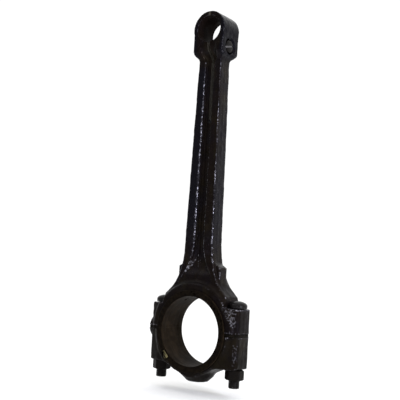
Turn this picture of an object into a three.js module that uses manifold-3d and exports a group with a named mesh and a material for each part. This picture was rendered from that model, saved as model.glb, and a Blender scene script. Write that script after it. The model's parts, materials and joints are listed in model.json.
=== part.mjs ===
// Connecting rod of a tractor-size engine: an I-beam forging with a babbitt-lined, bolted big end
// and a small end that is sawn through and clamped on the wrist pin by one pinch screw.
// Millimetres, +Z up. The origin is the centre of the crankpin bore, both bores run along Y,
// and the wrist pin is straight above the crankpin.

import * as THREE from 'three';
import { mergeVertices } from 'three/addons/utils/BufferGeometryUtils.js';
import Module from 'manifold-3d';

const wasm = await Module();
wasm.setup();

// ---------------------------------------------------------------- driving dimensions

const CENTRE_DISTANCE = 266;
const CRANK_BORE_R = 29.75;
const PIN_BORE_R = 11.9;
const BIG_END_WIDTH = 31;
const SMALL_END_WIDTH = 25;

const GAP = 0.3; // clearance kept between pieces that touch
const CYLINDER_SIDES = 64;
const SMALL_CYLINDER_SIDES = 32;

// Big end
const LINING_OUTER_R = 32.5;
const LINING_FLANGE_R = 35.2;
const LINING_FLANGE_THICKNESS = 1.6;
const HOUSING_R = LINING_OUTER_R + GAP;
const HUB_HALF_WIDTH = BIG_END_WIDTH / 2 - LINING_FLANGE_THICKNESS - GAP;
const HUB_R = 40.5;
const CAP_R = 38;
const JOINT_HALF_GAP = 0.9; // half the space that the shims fill
const SHIM_THICKNESS = 0.45;

// Boss under the cap
const BOSS_END_Z = -42.9;
const BOSS_END_R = 9;
const BOSS_ROOT_R = 15.4;
const BOSS_X = 1.2; // the boss stands slightly towards +X

// Bolt pillars, one each side of the big end
const BOLT_SPACING = 76.8;
const PILLAR_OUTER_X = 45.8;
const PILLAR_HALF_DEPTH = 10.5;
const PILLAR_CORNER_R = 3.2;
const HEAD_SEAT_Z = 22;
const HEAD_WALL_X = 32;
const NUT_SEAT_Z = -28.4;
const NUMBER_PAD_R = 10;
const NUMBER_PAD_X = -47.4;

// Fasteners: 3/8 in bolts with 9/16 in nuts, and a 5/16 in pinch screw
const BOLT_R = 4.76;
const BOLT_HEAD_R = 7.9;
const BOLT_HEAD_EDGE = 3;
const BOLT_HEAD_DOME = 3.2;
const BOLT_END_Z = -44;
const BOLT_END_CHAMFER = 1.3;
const NUT_ACROSS_FLATS = 14.3;
const NUT_HEIGHT = 8.3;
const NUT_CHAMFER = 1.1;
const SCREW_R = 3.97;
const SCREW_HEAD_R = 5.7;
const SCREW_HEAD_HEIGHT = 3.9;
const SCREW_SLOT_WIDTH = 1.6;
const SCREW_SLOT_DEPTH = 1.5;
const SCREW_TIP_X = -13.5;
const WASHER_OUTER_R = 6;
const WASHER_THICKNESS = 1.6;
const WASHER_SPLIT = 0.8;

// I-beam
const BEAM_HALF_WIDTH_TOP = 11.5;
const BEAM_HALF_WIDTH_FOOT = 14.6;
const BEAM_HALF_DEPTH_TOP = 7.5;
const BEAM_HALF_DEPTH_FOOT = 8;
const BEAM_FOOT_Z = 75;
const WEB_HALF = 2.7;
const CHANNEL_HALF_TOP = 4.6;
const CHANNEL_HALF_FOOT = 5;
const BEAM_SHIFT_TOP = -0.4; // the beam stands slightly towards -X of the line between the bores
const BEAM_SHIFT_FOOT = -1;
const BEAM_TOP_Z = 250;

// Small end
const EYE_R = 16.1;
const CLAMP_HALF_WIDTH = 15.6;
const CLAMP_BOTTOM_Z = 242;
const CLAMP_CORNER_R = 2.8;
const CLAMP_CHAMFER = 3.2;
const SAW_CUT_WIDTH = 2;
const SAW_CUT_END_Z = 184.5;
const SAW_CUT_HOLE_R = 2.3;
const SCREW_AXIS_Z = CENTRE_DISTANCE - 14.8;
const COUNTERBORE_R = 6.8;
const COUNTERBORE_FLOOR_X = 9.5;

// ---------------------------------------------------------------- solids

// A closed three.js geometry as a solid that can be joined and cut.
function solid(geometry) {
  const bare = geometry.clone();
  bare.deleteAttribute('normal');
  bare.deleteAttribute('uv');
  const merged = mergeVertices(bare, 1e-4);
  return new wasm.Manifold(new wasm.Mesh({
    numProp: 3,
    vertProperties: Float32Array.from(merged.attributes.position.array),
    triVerts: Uint32Array.from(merged.index.array),
  }));
}

// A solid back as a three.js geometry.
function geometryOf(body) {
  const mesh = body.getMesh();
  const geometry = new THREE.BufferGeometry();
  const positions = new Float32Array(mesh.numVert * 3);
  for (let i = 0; i < mesh.numVert; i += 1) {
    for (let axis = 0; axis < 3; axis += 1) {
      positions[3 * i + axis] = mesh.vertProperties[mesh.numProp * i + axis];
    }
  }
  geometry.setAttribute('position', new THREE.BufferAttribute(positions, 3));
  geometry.setIndex(new THREE.BufferAttribute(Uint32Array.from(mesh.triVerts), 1));
  geometry.computeVertexNormals();
  return geometry;
}

function joined(...bodies) {
  return bodies.reduce((whole, body) => whole.add(body));
}

function cut(body, ...tools) {
  return tools.reduce((rest, tool) => rest.subtract(tool), body);
}

// An outline drawn in X and Z, given thickness along Y from one depth to another.
function plateAlongY(outline, fromY, toY) {
  const depth = toY - fromY;
  const plate = new THREE.ExtrudeGeometry(outline, { depth, bevelEnabled: false, curveSegments: 12 });
  plate.rotateX(Math.PI / 2);
  plate.translate(0, toY, 0);
  return solid(plate);
}

// An outline drawn in Y and Z, given thickness along X from one side to the other.
function plateAlongX(outline, fromX, toX) {
  const depth = toX - fromX;
  const plate = new THREE.ExtrudeGeometry(outline, { depth, bevelEnabled: false, curveSegments: 12 });
  plate.rotateZ(Math.PI / 2);
  plate.rotateY(Math.PI / 2);
  plate.translate(fromX, 0, 0);
  return solid(plate);
}

// An outline drawn in X and Y, raised along Z from one height to another.
function plateAlongZ(outline, fromZ, toZ) {
  const depth = toZ - fromZ;
  const plate = new THREE.ExtrudeGeometry(outline, { depth, bevelEnabled: false, curveSegments: 12 });
  plate.translate(0, 0, fromZ);
  return solid(plate);
}

function block(low, high) {
  const box = new THREE.BoxGeometry(high[0] - low[0], high[1] - low[1], high[2] - low[2]);
  box.translate((low[0] + high[0]) / 2, (low[1] + high[1]) / 2, (low[2] + high[2]) / 2);
  return solid(box);
}

// Cylinders named by the direction of their axis; the two plain numbers are the centre.
function cylinderAlongY(radius, halfLength, x, z, sides = CYLINDER_SIDES) {
  const round = new THREE.CylinderGeometry(radius, radius, 2 * halfLength, sides);
  round.translate(x, 0, z);
  return solid(round);
}

function cylinderAlongX(radius, fromX, toX, y, z, sides = SMALL_CYLINDER_SIDES) {
  const round = new THREE.CylinderGeometry(radius, radius, toX - fromX, sides);
  round.rotateZ(Math.PI / 2);
  round.translate((fromX + toX) / 2, y, z);
  return solid(round);
}

function cylinderAlongZ(radius, fromZ, toZ, x, y, sides = SMALL_CYLINDER_SIDES) {
  const round = new THREE.CylinderGeometry(radius, radius, toZ - fromZ, sides);
  round.rotateX(Math.PI / 2);
  round.translate(x, y, (fromZ + toZ) / 2);
  return solid(round);
}

// A profile of [radius, height] pairs turned about the Z axis and set down at x.
function turnedAboutZ(profile, x, sides = SMALL_CYLINDER_SIDES) {
  const points = profile.map(([radius, height]) => new THREE.Vector2(radius, height));
  const turned = new THREE.LatheGeometry(points, sides);
  turned.rotateX(Math.PI / 2);
  turned.translate(x, 0, 0);
  return solid(turned);
}

// ---------------------------------------------------------------- outlines

// The right half of a path, closed by its own mirror image across X = 0.
function mirrored(rightHalf) {
  const right = rightHalf.getPoints(8);
  const left = right.filter((point) => point.x > 1e-6).map((point) => new THREE.Vector2(-point.x, point.y));
  return new THREE.Shape([...right, ...left.reverse()]);
}

// An outline of the beam moved to the beam's own middle line, which meets X = 0 again at the hub.
function shiftedToBeam(outline) {
  const hubZ = 45;
  const points = outline.getPoints().map((point) => {
    const down = Math.min(Math.max((BEAM_TOP_Z - point.y) / (BEAM_TOP_Z - BEAM_FOOT_Z), 0), 1);
    const beamShift = BEAM_SHIFT_TOP + (BEAM_SHIFT_FOOT - BEAM_SHIFT_TOP) * down;
    const share = Math.min(Math.max((point.y - hubZ) / (BEAM_FOOT_Z - hubZ), 0), 1);
    return new THREE.Vector2(point.x + beamShift * share, point.y);
  });
  return new THREE.Shape(points);
}

// Front view of the beam: it widens slowly to its foot, then spreads into the shoulders of the hub.
function beamOutline() {
  const half = new THREE.Path();
  half.moveTo(0, BEAM_TOP_Z);
  half.lineTo(BEAM_HALF_WIDTH_TOP, BEAM_TOP_Z);
  half.lineTo(BEAM_HALF_WIDTH_FOOT, BEAM_FOOT_Z);
  half.quadraticCurveTo(15.4, 58, 18.6, 50);
  half.quadraticCurveTo(22.4, 38, HEAD_WALL_X + 0.6, 30);
  half.lineTo(HEAD_WALL_X + 0.6, 8);
  half.lineTo(0, 8);
  return shiftedToBeam(mirrored(half));
}

// Side view of the beam, drawn as depth (Y) against height (Z).
function beamSideOutline() {
  const half = new THREE.Path();
  half.moveTo(0, 252);
  half.lineTo(BEAM_HALF_DEPTH_TOP, 252);
  half.lineTo(BEAM_HALF_DEPTH_FOOT, 60);
  half.lineTo(9.5, 36);
  half.lineTo(9.5, 6);
  half.lineTo(0, 6);
  return mirrored(half);
}

// Front view of the channel sunk into each face of the beam; it opens out towards the hub.
function channelOutline() {
  const half = new THREE.Path();
  half.moveTo(0, 252);
  half.lineTo(CHANNEL_HALF_TOP - 1.2, 252);
  half.lineTo(CHANNEL_HALF_TOP, 238);
  half.lineTo(CHANNEL_HALF_FOOT, BEAM_FOOT_Z);
  half.quadraticCurveTo(6.2, 60, 12, 50);
  half.quadraticCurveTo(17.5, 40, 26, 29);
  half.lineTo(26, 20);
  half.lineTo(0, 20);
  return shiftedToBeam(mirrored(half));
}

// Side view of one channel: its floor runs out through the clamp above and rises to the hub below.
function channelSideOutline(front) {
  const side = front ? -1 : 1;
  const outline = new THREE.Shape();
  outline.moveTo(side * WEB_HALF, 240);
  outline.lineTo(side * WEB_HALF, 64);
  outline.lineTo(side * 6.5, 40);
  outline.lineTo(side * 6.5, 18);
  outline.lineTo(side * 18, 18);
  outline.lineTo(side * 18, 256);
  outline.closePath();
  return outline;
}

// Front view of the small end: the eye, with the square clamp boss below it.
function smallEndOutline() {
  const outline = new THREE.Shape();
  const tangent = Math.acos(CLAMP_HALF_WIDTH / EYE_R);
  outline.moveTo(-CLAMP_HALF_WIDTH + CLAMP_CORNER_R, CLAMP_BOTTOM_Z);
  outline.lineTo(CLAMP_HALF_WIDTH - CLAMP_CORNER_R, CLAMP_BOTTOM_Z);
  outline.absarc(CLAMP_HALF_WIDTH - CLAMP_CORNER_R, CLAMP_BOTTOM_Z + CLAMP_CORNER_R, CLAMP_CORNER_R,
    -Math.PI / 2, 0, false);
  outline.absarc(0, CENTRE_DISTANCE, EYE_R, -tangent, Math.PI + tangent, false);
  outline.absarc(-CLAMP_HALF_WIDTH + CLAMP_CORNER_R, CLAMP_BOTTOM_Z + CLAMP_CORNER_R, CLAMP_CORNER_R,
    Math.PI, 1.5 * Math.PI, false);
  return outline;
}

// Side view of the small end: full width, drawn in towards the beam at the bottom.
function smallEndSideOutline() {
  const half = new THREE.Path();
  half.moveTo(0, 290);
  half.lineTo(SMALL_END_WIDTH / 2, 290);
  half.lineTo(SMALL_END_WIDTH / 2, CLAMP_BOTTOM_Z + CLAMP_CHAMFER);
  half.lineTo(SMALL_END_WIDTH / 2 - CLAMP_CHAMFER, CLAMP_BOTTOM_Z);
  half.lineTo(SMALL_END_WIDTH / 2 - CLAMP_CHAMFER, CLAMP_BOTTOM_Z - 4);
  half.lineTo(0, CLAMP_BOTTOM_Z - 4);
  return mirrored(half);
}

// Plan of a bolt pillar, from its root at the hub out to its rounded outer side.
function pillarOutline(side, rootX, outerX = PILLAR_OUTER_X) {
  const half = new THREE.Path();
  half.moveTo(rootX, PILLAR_HALF_DEPTH);
  half.lineTo(outerX - PILLAR_CORNER_R, PILLAR_HALF_DEPTH);
  half.absarc(outerX - PILLAR_CORNER_R, PILLAR_HALF_DEPTH - PILLAR_CORNER_R, PILLAR_CORNER_R,
    Math.PI / 2, 0, true);
  const near = half.getPoints(6);
  const far = near.map((point) => new THREE.Vector2(point.x, -point.y)).reverse();
  const points = [...near, ...far].map((point) => new THREE.Vector2(side * point.x, point.y));
  return new THREE.Shape(side > 0 ? points.reverse() : points);
}

// ---------------------------------------------------------------- pieces of the big end

const BOLT_X = BOLT_SPACING / 2;
const BOLT_HOLE_R = BOLT_R + GAP;

function boltHole(side) {
  return cylinderAlongZ(BOLT_HOLE_R, -60, 60, side * BOLT_X, 0);
}

// The two raised half discs that carry the matching marks of rod and cap.
function numberPad() {
  return cylinderAlongX(NUMBER_PAD_R, NUMBER_PAD_X, -PILLAR_OUTER_X + 4, 0, 0, 40);
}

function aboveJoint(body) {
  return body.intersect(block([-80, -40, JOINT_HALF_GAP], [80, 40, 320]));
}

function belowJoint(body) {
  return body.intersect(block([-80, -40, -80], [80, 40, -JOINT_HALF_GAP]));
}

// Machined lug on each side of the beam's foot, used to locate the forging.
function locatingLug(side) {
  const outline = new THREE.Shape();
  outline.moveTo(side * 10, 60);
  outline.lineTo(side * 15, 59.3);
  outline.lineTo(side * 21.8, 55.4);
  outline.lineTo(side * 21.8, 45);
  outline.lineTo(side * 24, 38);
  outline.lineTo(side * 10, 38);
  outline.closePath();
  return plateAlongY(outline, -5.7, 5.7);
}

function rodBody() {
  const beam = plateAlongY(beamOutline(), -12, 12).intersect(plateAlongX(beamSideOutline(), -40, 40));
  const eye = plateAlongY(smallEndOutline(), -SMALL_END_WIDTH / 2, SMALL_END_WIDTH / 2);
  const smallEnd = eye.intersect(plateAlongX(smallEndSideOutline(), -20, 20));
  const channelPlan = plateAlongY(channelOutline(), -20, 20);
  const channels = [true, false].map((front) => (
    channelPlan.intersect(plateAlongX(channelSideOutline(front), -30, 30))
  ));
  const shaft = cut(joined(beam, smallEnd), ...channels);
  const hub = cylinderAlongY(HUB_R, HUB_HALF_WIDTH, 0, 0, 96);
  const pillars = [-1, 1].map((side) => plateAlongZ(pillarOutline(side, 20), 0, HEAD_SEAT_Z));
  const lugs = [-1, 1].map(locatingLug);
  const forging = aboveJoint(joined(shaft, hub, ...pillars, ...lugs, numberPad()));
  const sawCutHalf = SAW_CUT_WIDTH / 2;
  return cut(
    forging,
    cylinderAlongY(HOUSING_R, 40, 0, 0, 96),
    block([HEAD_WALL_X, -30, HEAD_SEAT_Z], [60, 30, 45]),
    block([-60, -30, HEAD_SEAT_Z], [-HEAD_WALL_X, 30, 45]),
    boltHole(-1),
    boltHole(1),
    cylinderAlongY(PIN_BORE_R, 40, 0, CENTRE_DISTANCE),
    block([-sawCutHalf, -30, SAW_CUT_END_Z], [sawCutHalf, 30, CENTRE_DISTANCE]),
    cylinderAlongY(SAW_CUT_HOLE_R, 30, 0, SAW_CUT_END_Z, 24),
    cylinderAlongX(SCREW_R + GAP, -30, 30, 0, SCREW_AXIS_Z),
    cylinderAlongX(COUNTERBORE_R, COUNTERBORE_FLOOR_X, 30, 0, SCREW_AXIS_Z),
  );
}

// The boss under the cap, drawn in with a 45 degree flank all round.
function balanceBoss() {
  const rootZ = BOSS_END_Z + BOSS_ROOT_R - BOSS_END_R;
  const profile = [
    [0, BOSS_END_Z],
    [BOSS_END_R, BOSS_END_Z],
    [BOSS_ROOT_R, rootZ],
    [BOSS_ROOT_R, -30],
    [0, -30],
  ];
  const hubWidth = block([-20, -HUB_HALF_WIDTH, -50], [20, HUB_HALF_WIDTH, -20]);
  return turnedAboutZ(profile, BOSS_X, 40).intersect(hubWidth);
}

// A pillar of the cap, with its lower outer edges taken off.
function capPillar(side) {
  const plain = plateAlongZ(pillarOutline(side, 20), NUT_SEAT_Z, 0);
  const outline = new THREE.Shape();
  outline.moveTo(side * 16, 2);
  outline.lineTo(side * PILLAR_OUTER_X, 2);
  outline.lineTo(side * PILLAR_OUTER_X, NUT_SEAT_Z + 1.8);
  outline.lineTo(side * (PILLAR_OUTER_X - 1.8), NUT_SEAT_Z);
  outline.lineTo(side * 24, NUT_SEAT_Z);
  outline.lineTo(side * 16, NUT_SEAT_Z);
  outline.closePath();
  return plain.intersect(plateAlongY(outline, -20, 20));
}

function bearingCap() {
  const ring = cylinderAlongY(CAP_R, HUB_HALF_WIDTH, 0, 0, 96);
  const blank = belowJoint(joined(ring, capPillar(-1), capPillar(1), balanceBoss(), numberPad()));
  return cut(blank, cylinderAlongY(HOUSING_R, 40, 0, 0, 96), boltHole(-1), boltHole(1));
}

// Half of the babbitt lining: a thin shell with a thrust flange on each face.
function liningHalf(upper) {
  const shell = cylinderAlongY(LINING_OUTER_R, BIG_END_WIDTH / 2, 0, 0, 96);
  const flanges = [-1, 1].map((face) => {
    const disc = new THREE.CylinderGeometry(LINING_FLANGE_R, LINING_FLANGE_R, LINING_FLANGE_THICKNESS, 96);
    disc.translate(0, face * (BIG_END_WIDTH - LINING_FLANGE_THICKNESS) / 2, 0);
    return solid(disc);
  });
  const whole = joined(shell, ...flanges);
  const bored = cut(whole, cylinderAlongY(CRANK_BORE_R, 40, 0, 0, 96));
  return upper ? aboveJoint(bored) : belowJoint(bored);
}

// One brass shim of the pack at a joint face, threaded on the bolt.
function shim(side, upper) {
  const innerX = 31.2;
  const outline = pillarOutline(side, innerX, PILLAR_OUTER_X - 0.5);
  const lowZ = upper ? GAP / 2 : -GAP / 2 - SHIM_THICKNESS;
  return cut(plateAlongZ(outline, lowZ, lowZ + SHIM_THICKNESS), boltHole(side));
}

// Bolt with a domed head, flat on the side that bears on the shoulder so that it can't turn.
function bigEndBolt(side) {
  const seatZ = HEAD_SEAT_Z + GAP;
  const profile = [
    [0, BOLT_END_Z],
    [BOLT_R - BOLT_END_CHAMFER, BOLT_END_Z],
    [BOLT_R, BOLT_END_Z + BOLT_END_CHAMFER],
    [BOLT_R, seatZ],
    [BOLT_HEAD_R, seatZ],
    [BOLT_HEAD_R, seatZ + BOLT_HEAD_EDGE],
    [BOLT_HEAD_R * 0.82, seatZ + BOLT_HEAD_EDGE + BOLT_HEAD_DOME * 0.55],
    [BOLT_HEAD_R * 0.5, seatZ + BOLT_HEAD_EDGE + BOLT_HEAD_DOME * 0.88],
    [0, seatZ + BOLT_HEAD_EDGE + BOLT_HEAD_DOME],
  ];
  const round = turnedAboutZ(profile, side * BOLT_X);
  const wall = side * (HEAD_WALL_X + GAP);
  const flat = side > 0 ? block([0, -20, seatZ - 1], [wall, 20, 60]) : block([wall, -20, seatZ - 1], [0, 20, 60]);
  return cut(round, flat);
}

// Hexagon nut, chamfered on its lower face.
function bigEndNut(side) {
  const topZ = NUT_SEAT_Z - GAP;
  const bottomZ = topZ - NUT_HEIGHT;
  const cornerR = NUT_ACROSS_FLATS / 2 / Math.cos(Math.PI / 6);
  const hexagon = cylinderAlongZ(cornerR, bottomZ, topZ, side * BOLT_X, 0, 6);
  const cone = turnedAboutZ([
    [0, bottomZ],
    [cornerR - NUT_CHAMFER, bottomZ],
    [cornerR + 0.4, bottomZ + NUT_CHAMFER],
    [cornerR + 0.4, topZ + 1],
    [0, topZ + 1],
  ], side * BOLT_X);
  return cut(hexagon.intersect(cone), boltHole(side));
}

// ---------------------------------------------------------------- pinch screw

const WASHER_X = COUNTERBORE_FLOOR_X + GAP;
const SCREW_HEAD_X = WASHER_X + WASHER_THICKNESS + GAP;

function pinchScrew() {
  const shank = cylinderAlongX(SCREW_R, SCREW_TIP_X, SCREW_HEAD_X + 1, 0, SCREW_AXIS_Z);
  const head = cylinderAlongX(SCREW_HEAD_R, SCREW_HEAD_X, SCREW_HEAD_X + SCREW_HEAD_HEIGHT, 0, SCREW_AXIS_Z);
  const slotFloorX = SCREW_HEAD_X + SCREW_HEAD_HEIGHT - SCREW_SLOT_DEPTH;
  const slot = block(
    [slotFloorX, -10, SCREW_AXIS_Z - SCREW_SLOT_WIDTH / 2],
    [slotFloorX + 5, 10, SCREW_AXIS_Z + SCREW_SLOT_WIDTH / 2],
  );
  return cut(joined(shank, head), slot);
}

function lockWasher() {
  const disc = cylinderAlongX(WASHER_OUTER_R, WASHER_X, WASHER_X + WASHER_THICKNESS, 0, SCREW_AXIS_Z);
  const hole = cylinderAlongX(SCREW_R + GAP, 0, 30, 0, SCREW_AXIS_Z);
  const split = block([0, -WASHER_SPLIT / 2, SCREW_AXIS_Z - 8], [30, WASHER_SPLIT / 2, SCREW_AXIS_Z]);
  return cut(disc, hole, split);
}

// ---------------------------------------------------------------- materials and assembly

const FINISHES = {
  forging: { color: 0x1d1a19, roughness: 0.42, metalness: 0.75 },
  fastener: { color: 0x262321, roughness: 0.4, metalness: 0.8 },
  babbitt: { color: 0x5b5148, roughness: 0.45, metalness: 0.8 },
  brass: { color: 0x7c6a3c, roughness: 0.4, metalness: 0.9 },
};

const connectingRod = new THREE.Group();

function addPiece(name, finish, body) {
  const piece = new THREE.Mesh(geometryOf(body), new THREE.MeshStandardMaterial(FINISHES[finish]));
  piece.name = name;
  connectingRod.add(piece);
}

addPiece('rod_body', 'forging', rodBody());
addPiece('bearing_cap', 'forging', bearingCap());
addPiece('upper_bearing_lining', 'babbitt', liningHalf(true));
addPiece('lower_bearing_lining', 'babbitt', liningHalf(false));

for (const [word, side] of [['left', -1], ['right', 1]]) {
  addPiece(`${word}_upper_shim`, 'brass', shim(side, true));
  addPiece(`${word}_lower_shim`, 'brass', shim(side, false));
  addPiece(`${word}_big_end_bolt`, 'fastener', bigEndBolt(side));
  addPiece(`${word}_big_end_nut`, 'fastener', bigEndNut(side));
}

addPiece('pinch_screw', 'fastener', pinchScrew());
addPiece('pinch_lock_washer', 'fastener', lockWasher());

export default connectingRod;
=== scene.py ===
# Visual model of a connecting rod: an oily I-beam forging with a babbitt-lined, bolted big end and a
# small end that is sawn through and clamped by one pinch screw.
# Sizes are millimetres in the frame of the CAD: +Z up the rod, both bores along Y.

import json
import math

import bmesh
import bpy
import numpy as np
from mathutils import Matrix, Vector


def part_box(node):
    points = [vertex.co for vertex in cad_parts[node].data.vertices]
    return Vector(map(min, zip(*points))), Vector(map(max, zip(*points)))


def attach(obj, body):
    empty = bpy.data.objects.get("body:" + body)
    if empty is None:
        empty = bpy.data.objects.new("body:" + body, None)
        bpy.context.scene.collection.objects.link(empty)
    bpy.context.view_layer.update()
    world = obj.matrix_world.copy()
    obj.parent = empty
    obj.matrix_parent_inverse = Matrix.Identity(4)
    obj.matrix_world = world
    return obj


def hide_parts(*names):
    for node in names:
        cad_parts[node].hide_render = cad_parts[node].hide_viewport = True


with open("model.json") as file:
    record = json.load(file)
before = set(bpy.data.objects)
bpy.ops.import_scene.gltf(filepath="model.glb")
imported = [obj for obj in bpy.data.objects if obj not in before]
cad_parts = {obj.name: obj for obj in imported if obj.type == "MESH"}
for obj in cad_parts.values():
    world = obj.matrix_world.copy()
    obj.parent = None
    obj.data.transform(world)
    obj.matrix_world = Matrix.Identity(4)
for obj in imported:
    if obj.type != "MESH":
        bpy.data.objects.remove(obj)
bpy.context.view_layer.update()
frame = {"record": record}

MM = 0.001
SEED = 41


def box_mm(node):
    """Lowest and highest corner of a CAD node, in millimetres."""
    low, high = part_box(node)
    return np.array(low) / MM, np.array(high) / MM


# ---- sizes from the frame

ROD_LOW, ROD_HIGH = box_mm("rod_body")
CAP_LOW, CAP_HIGH = box_mm("bearing_cap")
LINING_HIGH = box_mm("upper_bearing_lining")[1]
BOLT_LOW, BOLT_HIGH = box_mm("right_big_end_bolt")
NUT_LOW, NUT_HIGH = box_mm("right_big_end_nut")
SCREW_LOW, SCREW_HIGH = box_mm("pinch_screw")
WASHER_LOW, WASHER_HIGH = box_mm("pinch_lock_washer")

JOINT_Z = ROD_LOW[2]
HUB_HALF_WIDTH = ROD_HIGH[1]
PILLAR_OUTER_X = ROD_HIGH[0]
PAD_X = ROD_LOW[0]
FLANGE_R = LINING_HIGH[0]
LINING_HALF_WIDTH = LINING_HIGH[1]
BOLT_HEAD_R = (BOLT_HIGH[1] - BOLT_LOW[1]) / 2
BOLT_X = BOLT_HIGH[0] - BOLT_HEAD_R
BOLT_FLAT_X = BOLT_LOW[0]
NUT_CORNER_R = (NUT_HIGH[1] - NUT_LOW[1]) / 2
NUT_FLAT_R = (NUT_HIGH[0] - NUT_LOW[0]) / 2
SCREW_Z = (SCREW_LOW[2] + SCREW_HIGH[2]) / 2
SCREW_HEAD_R = (SCREW_HIGH[2] - SCREW_LOW[2]) / 2

# ---- sizes of the visible shapes

EYE_R = 16.25
PIN_Z = 266
PIN_BORE_R = 11.9
SMALL_HALF_WIDTH = 12.5
CLAMP_HALF_WIDTH = 15.6
CLAMP_BOTTOM_Z = 242
CRANK_BORE_R = 29.75
LINING_OUTER_R = 32.5
LINING_JOINT_Z = 0.03
HOUSING_R = 32.8
FLANGE_THICKNESS = 1.6
HUB_R = 40.6
CAP_R = 38
PILLAR_ROOT_X = 18
PILLAR_HALF_DEPTH = 10.5
PILLAR_CORNER_R = 3.2
SEAT_Z = 22
WALL_X = 32
LUG_X = 21.8
PAD_R = 10
PAD_ROOT_X = -40
BOSS_X = 1.2
BOSS_R = 15.4
BOSS_FACE_R = 9
BOSS_ROOT_Z = -20
NUT_SEAT_Z = -28.4
BOLT_R = 4.76
BOLT_HEAD_HEIGHT = 6.2
BOLT_THREAD_TOP_Z = -24
SCREW_R = 3.97
SCREW_HOLE_R = SCREW_R + 0.25
SCREW_SLOT_DEPTH = 1.6
SCREW_SLOT_WIDTH = 1.6
SCREW_SLOT_TURN = 16
SAW_CUT_WIDTH = 2
SAW_CUT_END_Z = 184.5
RELIEF_HOLE_R = 1.95
OIL_HOLE_R = 1.6
OIL_HOLE_PLACE = (-14.5, -2, 0)
CHANNEL_HALF_WIDTH = 3.8
FACET_WIDTH = 2.0
FACET_TOP_Z = 236
COUNTERBORE_R = 6.8
COUNTERBORE_X = 9.5
THREAD_PITCH = 25.4 / 24
THREAD_DEPTH = 0.38
SHIM_LEAVES = 3
SHIM_LEAF_GAP = 0.03
SHARP_ANGLE = 38
VOXEL = 0.7


# ---- numbers and fields

GRAIN_SIDE = 32
GRAIN_TABLE = np.random.default_rng(SEED).uniform(-1, 1, (GRAIN_SIDE,) * 3)


def grain(points, size, octaves, shift=0.0):
    """Seeded fractal noise, about -1 to 1, with features of the given size; shift picks another part."""
    total = np.zeros(len(points))
    for octave in range(octaves):
        spot = points / size * 2**octave + shift + 9.7 * octave
        cell = np.floor(spot).astype(int)
        part = spot - cell
        part = part * part * (3 - 2 * part)
        value = np.zeros(len(points))
        for corner in np.ndindex(2, 2, 2):
            weight = np.prod(np.where(corner, part, 1 - part), axis=1)
            value += weight * GRAIN_TABLE[tuple(((cell + corner) % GRAIN_SIDE).T)]
        total += value * 0.5**octave
    return total


def step_between(low, high, value):
    """0 below low, 1 above high, smooth between."""
    part = np.clip((value - low) / (high - low), 0, 1)
    return part * part * (3 - 2 * part)


def lift(first, second, soft):
    """How far a fillet stands off the corner where two fields meet."""
    return np.maximum(soft - np.abs(first - second), 0) ** 2 / (4 * soft)


def joined(first, second, soft):
    """Union of two fields with a fillet."""
    return np.minimum(first, second) - lift(first, second, soft)


def common(first, second, soft):
    """Intersection of two fields with a rounded edge."""
    return np.maximum(first, second) + lift(first, second, soft)


def without(body, tool, soft):
    """One field cut by another, with a rounded edge."""
    return common(body, -tool, soft)


def bend(start, control, end):
    """Eight points of a quadratic curve, without its start."""
    return [
        tuple((1 - t) ** 2 * a + 2 * t * (1 - t) * b + t * t * c for a, b, c in zip(start, control, end))
        for t in (i / 8 for i in range(1, 9))
    ]


def outline_distance(points, across, up):
    """Signed distance to a closed outline, negative inside."""
    nearest = np.full(np.broadcast(across, up).shape, 1e9)
    inside = np.zeros(nearest.shape, bool)
    for (ax, az), (bx, bz) in zip(points, points[1:] + points[:1]):
        dx, dz = bx - ax, bz - az
        t = np.clip(((across - ax) * dx + (up - az) * dz) / (dx * dx + dz * dz + 1e-12), 0, 1)
        nearest = np.minimum(nearest, np.hypot(across - ax - t * dx, up - az - t * dz))
        if dz:
            crossing = ((az > up) != (bz > up)) & (across < ax + (up - az) * dx / dz)
            inside ^= crossing
    return np.where(inside, -nearest, nearest)


def round_box(across, up, half_across, half_up, corner):
    """Signed distance to a rectangle with round corners, centred on zero."""
    a = np.abs(across) - half_across + corner
    b = np.abs(up) - half_up + corner
    outside = np.hypot(np.maximum(a, 0), np.maximum(b, 0))
    return outside + np.minimum(np.maximum(a, b), 0) - corner


def flash(y):
    """Height of the trimmed flash that runs round the forging at its parting plane."""
    return 0.12 * np.exp(-((y / 1.3) ** 4))


# ---- forging of the rod


def beam_middle(z):
    """X of the beam's middle line, which stands slightly towards -X between the two ends."""
    return np.interp(z, (45, 75, 250, 262), (0, -1, -0.4, 0))


def beam_outline():
    """Right half of the beam seen from the front: a straight taper, then the flare at its foot."""
    foot, flare, shoulder = (14.6, 75), (18.6, 50), (WALL_X + 0.6, 30)
    half = [(0, 252), (11.5, 252), foot]
    half += bend(foot, (15.4, 58), flare)
    half += bend(flare, (22.4, 38), shoulder)
    half += [(WALL_X + 0.6, 6), (0, 6)]
    return half


def channel_outline():
    """Right half of the channel's bottom, which widens into the clamp above and the hub below."""
    foot, flare = (CHANNEL_HALF_WIDTH, 75), (12, 50)
    half = [(0, 262), (7.4, 262), (6.6, 246), (CHANNEL_HALF_WIDTH, 237), foot]
    half += bend(foot, (5.2, 60), flare)
    half += bend(flare, (17.5, 40), (26, 29))
    half += [(26, 18), (0, 18)]
    return half


def smooth_profile(z, heights, values):
    """A profile through given heights, with its corners eased over 3 mm."""
    shifts = np.linspace(-1.5, 1.5, 7)
    return sum(np.interp(z + shift, heights, values) for shift in shifts) / len(shifts)


def flange_depth(z):
    """Half the beam's depth along Y."""
    return np.interp(z, (6, 36, 60, 252), (9.8, 9.8, 8.0, 7.5))


def facet_plane(opening, half_depth, y):
    """Bevel along the inner edge of each flange; opening is the distance outside the channel."""
    return 0.79 * opening + 0.61 * (half_depth - np.abs(y)) - FACET_WIDTH / 2


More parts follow.
